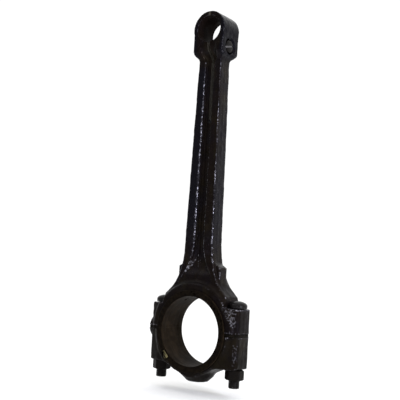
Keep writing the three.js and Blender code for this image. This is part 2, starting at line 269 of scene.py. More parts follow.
def beam_field(x, y, z):
    """The beam without its channels, and the two channels with the bevels beside them."""
    across = np.abs(x - beam_middle(z))
    side = outline_distance(beam_outline(), across, z) - flash(y)
    half_depth = flange_depth(z)
    beam = common(side, np.abs(y) - half_depth, 1.4)
    web = smooth_profile(
        z,
        (38, 44, 53, 68, 238, 241, 244.9, 248.9, 253.8, 257),
        (13.8, 11.4, 6.2, 2.7, 2.7, 3.2, 7.6, 11.4, 12.6, 14.5),
    )
    opening = outline_distance(channel_outline(), across, z)
    walls = opening - 0.16 * (np.abs(y) - web)
    channel = common(walls, web - np.abs(y), 2.2)
    facet = np.maximum(facet_plane(opening, half_depth, y), web - np.abs(y))
    return beam, np.where(z < FACET_TOP_Z, joined(channel, facet, 0.6), channel)


def small_end_field(x, y, z):
    """The eye and the clamp under it, whose front and back lean in at the bottom."""
    eye = np.hypot(x, z - PIN_Z) - EYE_R
    clamp_top = PIN_Z - 4
    middle = (CLAMP_BOTTOM_Z + clamp_top) / 2
    clamp = round_box(x, z - middle, CLAMP_HALF_WIDTH, (clamp_top - CLAMP_BOTTOM_Z) / 2, 2.6)
    side = joined(eye, clamp, 1.5) - flash(y) * 0.6
    slab = np.abs(y) - SMALL_HALF_WIDTH
    lower = (slab + 3.0 - (z - CLAMP_BOTTOM_Z)) / math.sqrt(2)
    return common(common(side, slab, 0.6), lower, 1.2)


def pillar_field(x, y, z, low_z, high_z):
    """The bolt pillars on both sides, less deep at their outer ends than at the hub."""
    middle = (PILLAR_ROOT_X + PILLAR_OUTER_X) / 2
    half = (PILLAR_OUTER_X - PILLAR_ROOT_X) / 2
    depths = (PILLAR_HALF_DEPTH + 2.4, PILLAR_HALF_DEPTH - 0.8)
    depth = np.interp(np.abs(x), (34, PILLAR_OUTER_X), depths)
    side = round_box(np.abs(x) - middle, y, half, depth, PILLAR_CORNER_R) - flash(y) + 0.25
    return common(side, np.maximum(low_z - z, z - high_z), 0.9)


def hub_field(x, y, z, radius, draft):
    """A round hub whose rim draws in by draft for each millimetre from the parting plane."""
    rim = np.hypot(x, z) - radius + draft * np.abs(y)
    return common(rim, np.abs(y) - HUB_HALF_WIDTH, 2.2)


def lug_field(x, y, z):
    """The locating lugs on both sides of the beam's foot."""
    outline = [(10, 60), (15, 59.3), (LUG_X, 55.4), (LUG_X, 45), (24, 38), (10, 38)]
    return common(outline_distance(outline, np.abs(x), z), np.abs(y) - 5.7, 1.0)


def round_pad_field(x, y, z):
    """The raised round pad on the -X end, half of it on the rod and half on the cap."""
    disc = np.hypot(y, z) - PAD_R
    return common(common(disc, PAD_X - x, 0.8), x - PAD_ROOT_X, 0.5)


def rod_field(x, y, z):
    """The whole rod forging, without its holes."""
    beam, channel = beam_field(x, y, z)
    body = joined(beam, small_end_field(x, y, z), 4.5)
    channel_edge = np.interp(z, (232, 244), (0.8, 4.0))
    body = without(body, channel, channel_edge)
    body = joined(body, hub_field(x, y, z, HUB_R + 1.4, 0.06), 4.0)
    body = joined(body, pillar_field(x, y, z, 0, SEAT_Z), 2.6)
    body = joined(body, lug_field(x, y, z), 1.2)
    body = joined(body, round_pad_field(x, y, z), 1.0)
    above_seat = np.maximum(WALL_X - np.abs(x), SEAT_Z - z)
    body = without(body, np.maximum(above_seat, z - 60), 0.8)
    body = np.maximum(body, HOUSING_R - np.hypot(x, z))
    return np.maximum(np.maximum(body, JOINT_Z - z), np.abs(y) - HUB_HALF_WIDTH)


# ---- forging of the cap


def balance_boss_field(x, y, z):
    """The boss under the cap, drawn in with a 45 degree flank all round."""
    radius = np.hypot(x - BOSS_X, y)
    flank = (radius - BOSS_FACE_R - (z - CAP_LOW[2])) / math.sqrt(2)
    boss = common(common(radius - BOSS_R, flank, 2.0), CAP_LOW[2] - z, 1.2)
    return np.maximum(boss, z - BOSS_ROOT_Z)


def cap_field(x, y, z):
    """The whole cap forging, without its bolt holes; its pillars' lower outer corners are bevelled."""
    body = hub_field(x, y, z, CAP_R, 0.03)
    pillar = pillar_field(x, y, z, NUT_SEAT_Z, 0)
    bevel = (np.abs(x) - PILLAR_OUTER_X + NUT_SEAT_Z - z + 1.8) / math.sqrt(2)
    body = joined(body, common(pillar, bevel, 1.0), 3.0)
    body = joined(body, balance_boss_field(x, y, z), 2.4)
    body = joined(body, round_pad_field(x, y, z), 1.0)
    body = np.maximum(body, HOUSING_R - np.hypot(x, z))
    return np.maximum(np.maximum(body, z + JOINT_Z), np.abs(y) - HUB_HALF_WIDTH)


# ---- field to mesh


def surface_net(field, low, step):
    """Points and four-sided faces on the zero surface of a sampled field."""
    inside = field < 0
    cells = np.array(field.shape) - 1
    count = sum(
        inside[i:i + cells[0], j:j + cells[1], k:k + cells[2]].astype(np.int8)
        for i, j, k in np.ndindex(2, 2, 2)
    )
    active = np.argwhere((count > 0) & (count < 8))
    index = np.full(cells, -1)
    index[tuple(active.T)] = np.arange(len(active))
    total = np.zeros((len(active), 3))
    hits = np.zeros(len(active))
    faces = []
    for axis in range(3):
        along = np.eye(3, dtype=int)[axis]
        first, second = np.roll(along, 1), np.roll(along, 2)
        for a, b in np.ndindex(2, 2):
            start = active + a * first + b * second
            low_value = field[tuple(start.T)]
            high_value = field[tuple((start + along).T)]
            crossed = (low_value < 0) != (high_value < 0)
            share = low_value[crossed] / (low_value[crossed] - high_value[crossed])
            total[crossed] += start[crossed] + share[:, None] * along
            hits[crossed] += 1
        before = inside[tuple(slice(0, n - u) for n, u in zip(field.shape, along))]
        after = inside[tuple(slice(u, n) for n, u in zip(field.shape, along))]
        edges = np.argwhere(before != after)
        leaving = before[tuple(edges.T)]
        corners = [
            index[tuple((edges - a * first - b * second).T)]
            for a, b in ((0, 0), (1, 0), (1, 1), (0, 1))
        ]
        quads = np.stack(corners, axis=1)
        quads[~leaving] = quads[~leaving][:, ::-1]
        faces.append(quads)
    return low + step * total / hits[:, None], np.concatenate(faces)


def point_normals(points, faces):
    """Unit normals at the points, from the faces round each, weighted by their area."""
    first, second, third, fourth = (points[faces[:, i]] for i in range(4))
    normal = np.cross(third - first, fourth - second)
    normals = np.zeros_like(points)
    for corner in range(4):
        for axis in range(3):
            normals[:, axis] += np.bincount(faces[:, corner], normal[:, axis], len(points))
    return normals / np.maximum(np.linalg.norm(normals, axis=1), 1e-12)[:, None]


def neighbour_mean(values, faces):
    """Mean of the values at the points that share an edge with each point."""
    pairs = np.concatenate([faces[:, [i, (i + 1) % 4]] for i in range(4)])
    count = np.bincount(pairs.ravel(), minlength=len(values))
    columns = values.reshape(len(values), -1)
    sums = [
        np.bincount(pairs[:, 0], column[pairs[:, 1]], len(values))
        + np.bincount(pairs[:, 1], column[pairs[:, 0]], len(values))
        for column in columns.T
    ]
    return (np.stack(sums, axis=1) / count[:, None]).reshape(values.shape)


def edge_sharpness(points, faces, normals):
    """0 on flat and hollow surfaces, rising to 1 on outer edges."""
    hollow = np.sum((neighbour_mean(points, faces) - points) * normals, axis=1)
    bulge = -hollow / VOXEL
    for _ in range(2):
        bulge = (bulge + neighbour_mean(bulge, faces)) / 2
    return np.clip((bulge - 0.015) / 0.09, 0, 1)


def sampled(field, low, high):
    """The field at every corner of a grid of voxels round a box."""
    margin = 3
    start = np.array(low) - margin * VOXEL
    counts = np.ceil((np.array(high) - low) / VOXEL).astype(int) + 2 * margin + 1
    axes = [start[i] + VOXEL * np.arange(counts[i]) for i in range(3)]
    x, y, z = np.ix_(*axes)
    return field(x, y, z) + 0 * (x + y + z), start


def forging(name, field, machined, low, high):
    """A forged body: its smooth field, then the hammering and scale of its rough surface."""
    values, start = sampled(field, low, high)
    points, faces = surface_net(values, start, VOXEL)
    normals = point_normals(points, faces)
    worn = edge_sharpness(points, faces, normals) * step_between(0.8, 2.2, np.abs(points[:, 2]))
    hammering = 0.17 * grain(points, 11, 2)
    scale = 0.13 * grain(points, 3.2, 2, 4.1)
    rough = (hammering + scale) * (1 - machined(points))
    points = np.clip(points + normals * rough[:, None], low, high)
    obj = mesh_object(name, points, faces)
    paint(obj, "edge", worn)
    return obj


def paint(obj, name, values):
    """Keeps a number at each point of a mesh for its material to read."""
    kept = obj.data.attributes.get(name) or obj.data.attributes.new(name, "FLOAT", "POINT")
    kept.data.foreach_set("value", values.astype(np.float32))


def painted(obj, name):
    """The numbers that paint() kept."""
    values = np.empty(len(obj.data.vertices), np.float32)
    obj.data.attributes[name].data.foreach_get("value", values)
    return values


def corners_of(obj):
    """The points of a mesh, in millimetres."""
    points = np.empty(3 * len(obj.data.vertices))
    obj.data.vertices.foreach_get("co", points)
    return points.reshape(-1, 3) / MM


def near(values, plane, reach=0.25):
    """1 where a value lies within reach of a plane, 0 elsewhere."""
    return (np.abs(values - plane) < reach).astype(float)


def rod_machined(points):
    """1 where a cutter has made the rod's surface, 0 where it is as forged."""
    x, y, z = np.abs(points[:, 0]), np.abs(points[:, 1]), points[:, 2]
    radius = np.hypot(x, z)
    flats = [
        near(y, HUB_HALF_WIDTH) * (radius < HUB_R + 1),
        near(y, SMALL_HALF_WIDTH) * (z > CLAMP_BOTTOM_Z),
        near(z, JOINT_Z),
        near(z, SEAT_Z) * (x > WALL_X - 1),
        near(x, WALL_X) * (z > SEAT_Z - 1),
        near(radius, HOUSING_R, 0.4),
        near(x, LUG_X) * (z > 44) * (z < 56),
    ]
    return np.maximum.reduce(flats)


def cap_machined(points):
    """1 where a cutter has made the cap's surface, 0 where it is as forged."""
    x, y, z = np.abs(points[:, 0]), np.abs(points[:, 1]), points[:, 2]
    radius = np.hypot(x, z)
    flats = [
        near(y, HUB_HALF_WIDTH) * (radius < CAP_R + 1),
        near(z, -JOINT_Z),
        near(z, NUT_SEAT_Z) * (x > 26),
        near(z, CAP_LOW[2]),
        near(radius, HOUSING_R, 0.4),
    ]
    return np.maximum.reduce(flats)


# ---- meshes


def mesh_object(name, points, faces):
    """An object from points in millimetres and faces given as lists or as an array of fours."""
    mesh = bpy.data.meshes.new(name)
    faces = faces.tolist() if isinstance(faces, np.ndarray) else faces
    mesh.from_pydata((np.asarray(points) * MM).tolist(), [], faces)
    mesh.validate()
    obj = bpy.data.objects.new(name, mesh)
    bpy.context.scene.collection.objects.link(obj)
    return obj


def woven(name, rows, closed=False):
    """A skin over rings of points; closed joins the last ring to the first, else both are capped."""
    rows = np.asarray(rows)
    count, around = rows.shape[:2]
    faces = []
    for i in range(count if closed else count - 1):
        here, there = i * around, (i + 1) % count * around
        for j in range(around):
            k = (j + 1) % around
            faces.append((here + j, here + k, there + k, there + j))
    if not closed:
        faces.append(tuple(range(around - 1, -1, -1)))
        faces.append(tuple((count - 1) * around + j for j in range(around)))
    obj = mesh_object(name, rows.reshape(-1, 3), faces)
    outward(obj)
    return obj


def outward(obj):
    """Turns every face outward."""
    work = bmesh.new()
    work.from_mesh(obj.data)
    bmesh.ops.recalc_face_normals(work, faces=work.faces)
    work.to_mesh(obj.data)
    work.free()


def full_turn(sides):
    """Angles of the corners of a ring with this many sides."""
    return np.linspace(0, 2 * math.pi, sides, endpoint=False)


def ring_of(radius, along, angles):
    """A ring of points round +Z; the radius may differ from angle to angle."""
    radius = radius + 0 * angles
    return np.stack([radius * np.cos(angles), radius * np.sin(angles), along + 0 * angles], axis=1)


def turned(name, profile, centre, axis, sides):
    """A solid of revolution from pairs of radius and distance along an axis: 0, 1 or 2."""
    rings = [ring_of(radius, along, full_turn(sides)) for radius, along in profile]
    return woven(name, np.roll(rings, axis + 1, axis=-1) + centre)


def block(name, low, high):
    """A cutting block; only its cut is ever seen."""
    (x0, y0, z0), (x1, y1, z1) = low, high
    ring = [(x0, y0), (x1, y0), (x1, y1), (x0, y1)]
    return woven(name, [[(x, y, z) for x, y in ring] for z in (z0, z1)])


def carve(obj, *tools):
    """Cuts tools out of an object and deletes them."""
    for tool in tools:
        modifier = obj.modifiers.new("cut", "BOOLEAN")
        modifier.object = tool
        modifier.operation = "DIFFERENCE"
        modifier.solver = "MANIFOLD"
        depsgraph = bpy.context.evaluated_depsgraph_get()
        result = bpy.data.meshes.new_from_object(obj.evaluated_get(depsgraph))
        obj.modifiers.clear()
        old = obj.data
        obj.data = result
        bpy.data.meshes.remove(old)
        bpy.data.objects.remove(tool)


def gouges(places):
    """One tool of small ragged pits; each place is a centre and three half sizes. They stay apart."""
    work = bmesh.new()
    for number, (centre, sizes) in enumerate(places):
        made = bmesh.ops.create_icosphere(work, subdivisions=3, radius=1)["verts"]
        points = np.array([vert.co[:] for vert in made])
        points *= 1 + 0.22 * grain(points, 0.8, 2, 1.7 * number)[:, None]
        for vert, point in zip(made, points * sizes + centre):
            vert.co = point * MM
    tool = mesh_object("gouges", [(0, 0, 0)], [])
    work.to_mesh(tool.data)
    work.free()
    return tool


def pitted(points, places):
    """1 at points on or in the pits, 0 away from them."""
    inside = np.zeros(len(points))
    for centre, sizes in places:
        away = np.linalg.norm((points - centre) / sizes, axis=1)
        inside = np.maximum(inside, step_between(1.3, 1.1, away))
    return inside


def place(obj, body, slot, material, *nodes):
    """Gives a finished piece its shading, material, body and CAD nodes."""
    obj.data.shade_smooth()
    obj.data.set_sharp_from_angle(angle=math.radians(SHARP_ANGLE))
    obj.data.materials.clear()
    obj.data.materials.append(material)
    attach(obj, body)
    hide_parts(*nodes)


def drill(radius, reach, centre, axis):
    """A round cutting tool that goes right through."""
    return turned("drill", [(radius, -reach), (radius, reach)], centre, axis, 40)


def bolt_drills():
    """Cutting tools for both bolt holes."""
    return [drill(BOLT_R + 0.3, 60, (side * BOLT_X, 0, 0), 2) for side in (-1, 1)]


def oil_hole_drill(low, high):
    """A cutting tool for the oil hole between two heights."""
    return turned("oil_hole", [(OIL_HOLE_R, low), (OIL_HOLE_R, high)], OIL_HOLE_PLACE, 2, 24)


def pillar_glint_patch(points):
    """1 on the patch of painted highlight on the right pillar's front, which narrows downwards to the outer
    corner.
    """
    x, y, z = points.T
    inner = np.interp(z, (2, SEAT_Z), (43, 29.5))
    patch = step_between(inner - 0.8, inner + 1.2, x) * step_between(44.6, 43, x)
    return patch * (y < -8) * (z < SEAT_Z + 1) * step_between(1, 8, z)


def corner_glint_strip(points):
    """1 on the strip of painted highlight down the front outer corner of the cap's right pillar."""
    x, y, z = points.T
    strip = step_between(40.5, 42, x) * step_between(46, 45, x)
    return strip * (y < -6) * step_between(-3, -8, z) * step_between(-27.5, -24, z)


def facet_glint(points):
    """1 on the bevels that get a painted highlight as rubbed metal: the left flange's in front, the right
    one's behind.
    """
    x, y, z = points.T
    across = x - beam_middle(z)
    opening = outline_distance(channel_outline(), np.abs(across), z)
    away = np.abs(facet_plane(opening, flange_depth(z), y))
    rubbed = across * y > 0
    return step_between(0.5, 0.25, away) * rubbed * (z > 40) * (z < FACET_TOP_Z - 2)


def make_rod():
    """The rod forging with its bores, holes and saw cut; its cut and rubbed surfaces are painted, the saw
    cut lighter as a painted lit wall, with painted highlights on the pin bore's mouth, a pillar patch and
    the flange bevels.
    """
    rod = forging("rod_forging", rod_field, rod_machined, ROD_LOW, ROD_HIGH)
    half = SMALL_HALF_WIDTH
    ease = 0.5
    mouth = PIN_BORE_R + ease
    pin_bore = [(mouth + 2, -half - 2), (mouth, -half), (PIN_BORE_R, -half + ease), (PIN_BORE_R, -half + 1)]
    pin_bore += [(radius, -along) for radius, along in reversed(pin_bore)]
    counterbore = [
        (SCREW_HOLE_R, COUNTERBORE_X - 2),
        (SCREW_HOLE_R, COUNTERBORE_X),
        (COUNTERBORE_R, COUNTERBORE_X),
        (COUNTERBORE_R, 14.4),
        (COUNTERBORE_R + 3, 17.4),
    ]
    saw = SAW_CUT_WIDTH / 2
    carve(
        rod,
        turned("bore", pin_bore, (0, 0, PIN_Z), 1, 96),
        drill(SCREW_HOLE_R, 30, (0, 0, SCREW_Z), 0),
        turned("recess", counterbore, (0, 0, SCREW_Z), 0, 64),
        block("saw_cut", (-saw, -30, SAW_CUT_END_Z), (saw, 30, PIN_Z)),
        drill(RELIEF_HOLE_R, 30, (0, 0, SAW_CUT_END_Z), 1),
        oil_hole_drill(28, 38),
        *bolt_drills(),
    )
    points = corners_of(rod)
    x, y, z = points.T
    from_pin = np.hypot(x, z - PIN_Z)
    # The pin bore's mouth, the right pillar's front and the flange bevels are marked for painted
    # highlights, drawn as rubbed metal.
    rim_wear_and_glint = (from_pin < mouth + 0.1) & (np.abs(y) > half - ease - 0.1)
    in_saw_cut = (np.abs(x) < saw + 0.05) & (from_pin > PIN_BORE_R) & (z > SAW_CUT_END_Z)
    scuffs_and_glints = [rim_wear_and_glint * 1.0, 0.62 * pillar_glint_patch(points), 0.75 * facet_glint(points)]
    paint(rod, "bore", from_pin < PIN_BORE_R + 0.1)
    # The saw cut is marked to be painted lighter: bare sawn steel and a painted lit wall.
    paint(rod, "sawn_and_lit", in_saw_cut)
    paint(rod, "edge", np.maximum.reduce([painted(rod, "edge"), *scuffs_and_glints]))
    return rod


def make_cap():
    """The cap forging with its bolt holes; the holes by the lining's chip run on into it."""
    cap = forging("cap_forging", cap_field, cap_machined, CAP_LOW, CAP_HIGH)
    carve(cap, *bolt_drills(), gouges(CHIP_HOLES))
    points = corners_of(cap)
    # The holes are painted nearly black: painted shade.
    paint(cap, "hole", pitted(points, CHIP_HOLES))
    # The strip down the pillar's corner is marked for a painted highlight.
    paint(cap, "edge", np.maximum(painted(cap, "edge"), 0.54 * corner_glint_strip(points)))
    return cap


# ---- linings


def lining_section():
    """Closed section of the lining as pairs of radius and Y, round from the bore."""
    half = LINING_HALF_WIDTH
    back = half - FLANGE_THICKNESS
    bore = [(CRANK_BORE_R, y) for y in np.linspace(-half + 0.4, half - 0.4, 44)]
    face = [
        (CRANK_BORE_R + 0.1, half - 0.16),
        (CRANK_BORE_R + 0.3, half - 0.04),
        *[(radius, half) for radius in np.linspace(CRANK_BORE_R + 0.6, FLANGE_R - 1.2, 12)],
        (FLANGE_R - 0.5, half - 0.08),
        (FLANGE_R - 0.12, half - 0.35),
        (FLANGE_R, half - 0.7),
        (FLANGE_R, back + 0.15),
        (FLANGE_R - 0.15, back),
        (LINING_OUTER_R, back),
    ]
    mirror = [(radius, -y) for radius, y in reversed(face)]
    return np.array(bore + face + mirror)


def half_turn(radius, y, sweep):
    """Points along half a turn round Y that starts and ends at the joint; sweep runs from 0 to 1."""
    start = np.arcsin(LINING_JOINT_Z / radius)
    angle = start + sweep * (math.pi - 2 * start)
    return np.stack([radius * np.cos(angle), y + 0 * angle, radius * np.sin(angle)], axis=-1)


def make_lining(name, upper):
    """Half a lining: a shell with thrust flanges, worn, scored and relieved at the joint."""
    section = lining_section()
    sweep = np.linspace(0, 1, 150)[:, None]
    radius, y = section.T[:, None]
    shape = (len(sweep), len(section))
    flat = half_turn(radius, y, sweep).reshape(-1, 3)
    on_bore = (radius < CRANK_BORE_R + 0.2) & (np.abs(y) < LINING_HALF_WIDTH - 0.7)
    relief = 0.5 * step_between(0.06, 0.0, np.minimum(sweep, 1 - sweep)) * (np.abs(y) < 9)
    scores = 0.05 * grain(flat * (0.06, 1.2, 0.06), 1.6, 2).reshape(shape)
    wear = 0.07 * grain(flat, 7, 2, 2.2).reshape(shape)
    radius_now = radius + on_bore * (relief + np.maximum(scores + wear, -0.06))
    dents = np.maximum(grain(flat, 4.5, 2, 8.3).reshape(shape) - 0.55, 0)
    on_face = np.abs(y) > LINING_HALF_WIDTH - 0.2
    on_face = on_face * step_between(CRANK_BORE_R + 0.4, CRANK_BORE_R + 1.4, radius)
    y_now = y * (1 - on_face * dents * 0.5 / LINING_HALF_WIDTH)
    rows = half_turn(radius_now, y_now, sweep)
    return woven(name, rows if upper else rows * (1, 1, -1))


def flange_pits(first, last, count, shift):
    """Places of pits in the front flange, between two angles in degrees from +X."""
    draw = np.random.default_rng(SEED + shift)
    places = []
    while len(places) < count:
        angle = math.radians(draw.uniform(first, last))
        radius = draw.uniform(CRANK_BORE_R + 1, FLANGE_R - 1)
        size = draw.uniform(0.4, 1.0)
        centre = np.array([radius * math.cos(angle), -LINING_HALF_WIDTH, radius * math.sin(angle)])
        if all(np.linalg.norm(centre - other) > 1.5 * (size + max(sizes)) for other, sizes in places):
            places.append((centre, (size * draw.uniform(0.7, 1.6), size, size * draw.uniform(0.7, 1.6))))
    return places


def make_upper_lining():
    """The upper half, with the oil hole and two bands of pits in its front flange."""
    lining = make_lining("upper_babbitt_lining", True)
    places = flange_pits(2, 52, 16, 1) + flange_pits(84, 110, 4, 2)
    carve(lining, oil_hole_drill(20, 40), gouges(places))
    # The pits are painted nearly black: painted shade.
    paint(lining, "hole", pitted(corners_of(lining), places))
    return lining


CHIP_CENTRE = np.array([-23.8, -LINING_HALF_WIDTH, -21.9])
CHIP_HALF_SIZES = np.array([1.3, 0.95, 3.6])
CHIP_TURN = -44
CHIP_HOLES = [
    (np.array([-27.6, -15.6, -22.6]), (1.4, 4.4, 2.6)),
    (np.array([-23.6, -16.0, -26.6]), (1.0, 3.0, 0.8)),
]


def make_lower_lining():
    """The lower half; a chip is broken out of its front flange, and its metal is bare there."""
    lining = make_lining("lower_babbitt_lining", False)
    places = flange_pits(-30, -6, 4, 3)
    flake = block("flake", -CHIP_HALF_SIZES, CHIP_HALF_SIZES)
    turn = Matrix.Rotation(math.radians(CHIP_TURN), 4, (0.1, 1, 0))
    flake.data.transform(Matrix.Translation(CHIP_CENTRE * MM) @ turn)
    carve(lining, gouges(places), flake, gouges(CHIP_HOLES))
    points = corners_of(lining)
    x, y, z = points.T
    in_chip = (y > 0.2 - LINING_HALF_WIDTH) & (np.hypot(x, z) > CRANK_BORE_R + 0.3)
    paint(lining, "bare_and_glint", in_chip * (np.linalg.norm(points - CHIP_CENTRE, axis=1) < 4.5))
    # The holes and pits are painted nearly black: painted shade.
    paint(lining, "hole", pitted(points, CHIP_HOLES + places))
    return lining


# ---- bolts, nuts and shims


def thread_radius(radius, along, angles, start, end):
    """Radius of a right-hand thread along a shank, fading out at both ends of its length."""
    turn = along / THREAD_PITCH + angles / (2 * math.pi)
    groove = 1 - np.abs(2 * (turn - np.floor(turn)) - 1)
    groove = step_between(0.15, 0.95, groove)
    fade = step_between(start - 0.3, start + 0.6, along) * step_between(end + 0.6, end - 0.3, along)
    return radius - THREAD_DEPTH * groove * fade


def threaded_shank(radius, tip, top, chamfer, angles):
    """Rings of a shank's end from its tip up: a chamfer, then a thread that fades out below the top."""
    rings = [ring_of(0.4, tip, angles), ring_of(radius - chamfer[0], tip, angles)]
    for along in np.arange(tip + 0.1, top, THREAD_PITCH / 8):
        thread = thread_radius(radius, along, angles, tip, top - 2)
        rings.append(ring_of(np.minimum(thread, radius - chamfer[1] + (along - tip)), along, angles))
    return rings


def make_bolt(name, side, shift):
    """Bolt with a domed head, flat towards the shoulder, and a thread at its lower end."""
    angles = full_turn(40)
    seat = BOLT_HIGH[2] - BOLT_HEAD_HEIGHT
    rows = threaded_shank(BOLT_R, BOLT_LOW[2], BOLT_THREAD_TOP_Z, (0.9, 0.7), angles)
    rows += [ring_of(BOLT_R, along, angles) for along in (-22, 0, 18, seat - 0.5)]
    rows.append(ring_of(BOLT_R + 0.4, seat, angles))
    head = [(0.93, 0.0), (0.985, 0.12), (1, 0.5), (1, 2.4), (0.985, 2.9), (0.95, 3.25)]
    dome = np.radians((74, 62, 50, 38, 26, 14, 4))
    head += [(0.95 * math.sin(a), 3.25 + 2.95 * math.cos(a) ** 1.3) for a in dome]
    rows += [ring_of(BOLT_HEAD_R * share, seat + height, angles) for share, height in head]
    points = np.array(rows)
    flat = points.reshape(-1, 3)
    on_head = flat[:, 2] > seat + 0.2
    dents = 0.12 * np.maximum(grain(flat, 5, 3, shift), 0)
    flat[:, 2] -= on_head * dents * step_between(seat + 2, seat + 5, flat[:, 2])
    limit = np.where(flat[:, 2] > seat - 0.1, BOLT_FLAT_X - BOLT_X, -np.inf)
    flat[:, 0] = side * np.maximum(flat[:, 0], limit)
    flat[:, 0] += side * BOLT_X
    return woven(name, points)


def make_nut(name, side):
    """Hexagon nut, chamfered on both ends and threaded through."""
    angles = full_turn(96)
    low, high = NUT_LOW[2], NUT_HIGH[2]
    wrapped = (angles + math.pi / 6) % (math.pi / 3) - math.pi / 6
    hexagon = np.minimum(NUT_FLAT_R / np.cos(wrapped), NUT_CORNER_R - 0.2)
    hole_r = BOLT_R + 0.18
    heights = [0, 0.12, 0.25, 0.4, 0.55, 0.7, 0.9, 1.3, 3.5]
    outer = [low + h for h in heights] + [high - h for h in reversed(heights)]
    rows = []
    for along in outer:
        depth = min(along - low, high - along)
        rows.append(ring_of(np.minimum(hexagon, NUT_FLAT_R * 0.97 + 0.05 + depth * 1.6), along, angles))
    rows += [ring_of(hole_r + ease, high, angles) for ease in (1.2, 0.5)]
    for along in np.arange(high - 0.4, low + 0.4, -THREAD_PITCH / 6):
        thread = thread_radius(hole_r + THREAD_DEPTH, along, angles, low, high)
        rows.append(ring_of(thread, along, angles))
    rows += [ring_of(hole_r + ease, low, angles) for ease in (0.5, 1.2)]
    return woven(name, np.array(rows) + (side * BOLT_X, 0, 0), closed=True)


def shim_reach(angles, side, trim):
    """Distance from the bolt's axis to the edge of the joint face; angle 0 points away from the bore."""
    radii = np.arange(BOLT_R + 0.5, 20, 0.05)[:, None]
    x = side * (BOLT_X + radii * np.cos(angles))
    outside = rod_field(x, radii * np.sin(angles), JOINT_Z + 0.8) > -trim
    return radii[np.argmax(outside, axis=0), 0]


def make_shim(name, side, upper):
    """A pack of thin brass leaves, each trimmed a little differently."""
    angles = full_turn(120)
    inner = BOLT_R + 0.35
    thick = (JOINT_Z - 0.04) / SHIM_LEAVES
    pack = []
    for leaf in range(SHIM_LEAVES):
        low = SHIM_LEAF_GAP + leaf * thick if upper else -SHIM_LEAF_GAP - (leaf + 1) * thick
        high = low + thick - SHIM_LEAF_GAP
        trim = 0.06 + 0.05 * ((leaf * 2 + upper) % 3)
        outer = shim_reach(angles, side, trim)
        corners = ((inner, low), (outer, low), (outer, high), (inner, high))
        rows = np.array([ring_of(radius, along, angles) for radius, along in corners])
        rows = (rows + (BOLT_X, 0, 0)) * (side, 1, 1)
        pack.append(woven(name if leaf == 0 else f"leaf_{leaf}", rows, closed=True))
    return merged(pack)


def merged(objects):
    """Joins several objects into the first."""
    work = bmesh.new()
    for obj in objects:
        work.from_mesh(obj.data)
    work.to_mesh(objects[0].data)
    work.free()
    for obj in objects[1:]:
        bpy.data.objects.remove(obj)
    return objects[0]


# ---- pinch screw


def make_screw():
    """Slotted pinch screw with a rounded cylindrical head; the slot's floor is painted bright, as scraped
    metal and as a painted highlight.
    """
    angles = full_turn(64)
    top = SCREW_HIGH[0]
    under = WASHER_HIGH[0] + 0.3
    rows = threaded_shank(SCREW_R, SCREW_LOW[0], 4, (1.0, 0.9), angles)
    rows += [ring_of(SCREW_R, along, angles) for along in (6, under - 0.2)]
    head = [(0.7, 0), (0.96, 0), (1, 0.2), (1, 2.6), (0.985, 2.95), (0.94, 3.25), (0.86, 3.5)]
    head += [(0.7, 3.72), (0.45, 3.86), (0.2, 3.9), (0.06, 3.9)]
    head_top = head[-1][1]
    for share, height in head:
        rows.append(ring_of(SCREW_HEAD_R * share, under + height * (top - under) / head_top, angles))
    screw = woven("pinch_screw_body", np.roll(rows, 1, axis=-1) + (0, 0, SCREW_Z))
    half = SCREW_SLOT_WIDTH / 2
    slot = block("slot", (top - SCREW_SLOT_DEPTH, -10, -half), (top + 5, 10, half))
    turn = Matrix.Rotation(math.radians(SCREW_SLOT_TURN), 4, "X")
    slot.data.transform(Matrix.Translation((0, 0, SCREW_Z * MM)) @ turn)
    carve(screw, slot)
    x, _, z = corners_of(screw).T
    on_floor = np.abs(x - top + SCREW_SLOT_DEPTH) < 0.1
    # The slot's floor is marked for a painted highlight.
    paint(screw, "bare_and_glint", on_floor & (np.abs(z - SCREW_Z) < 4.5))
    return screw


def make_washer():
    """Split spring washer: a rectangular bar coiled a little short of one turn."""
    inner, outer = SCREW_HOLE_R, WASHER_HIGH[1]
    ease = 0.18
    spring = 0.12
    gap_angle = 0.16
    low, high = WASHER_LOW[0] + spring, WASHER_HIGH[0] - spring
    section = [
        (inner + ease, low), (outer - ease, low), (outer, low + ease), (outer, high - ease),
        (outer - ease, high), (inner + ease, high), (inner, high - ease), (inner, low + ease),
    ]
    rows = []
    for share in np.linspace(0, 1, 72):
        angle = -math.pi / 2 + gap_angle / 2 + share * (2 * math.pi - gap_angle)
        climb = (share - 0.5) * 2 * spring
        rows.append([
            (along + climb, radius * math.cos(angle), SCREW_Z + radius * math.sin(angle))
            for radius, along in section
        ])
    return woven("lock_washer_coil", rows)


# ---- materials


MIX_FIRST, MIX_SECOND, MIX_RESULT = 6, 7, 2  # the Mix node's colour sockets, by number


def feed(socket, value):
    """Links a socket to another one, or sets its value."""
    if isinstance(value, bpy.types.NodeSocket):
        socket.id_data.links.new(value, socket)
    else:
        socket.default_value = value


def map_range(tree, value, low, high, to_low, to_high):
    """Carries a value smoothly from one range to another."""
    made = tree.nodes.new("ShaderNodeMapRange")
    made.interpolation_type = "SMOOTHSTEP"
    names = ("Value", "From Min", "From Max", "To Min", "To Max")
    for name, amount in zip(names, (value, low, high, to_low, to_high)):
        feed(made.inputs[name], amount)
    return made.outputs["Result"]


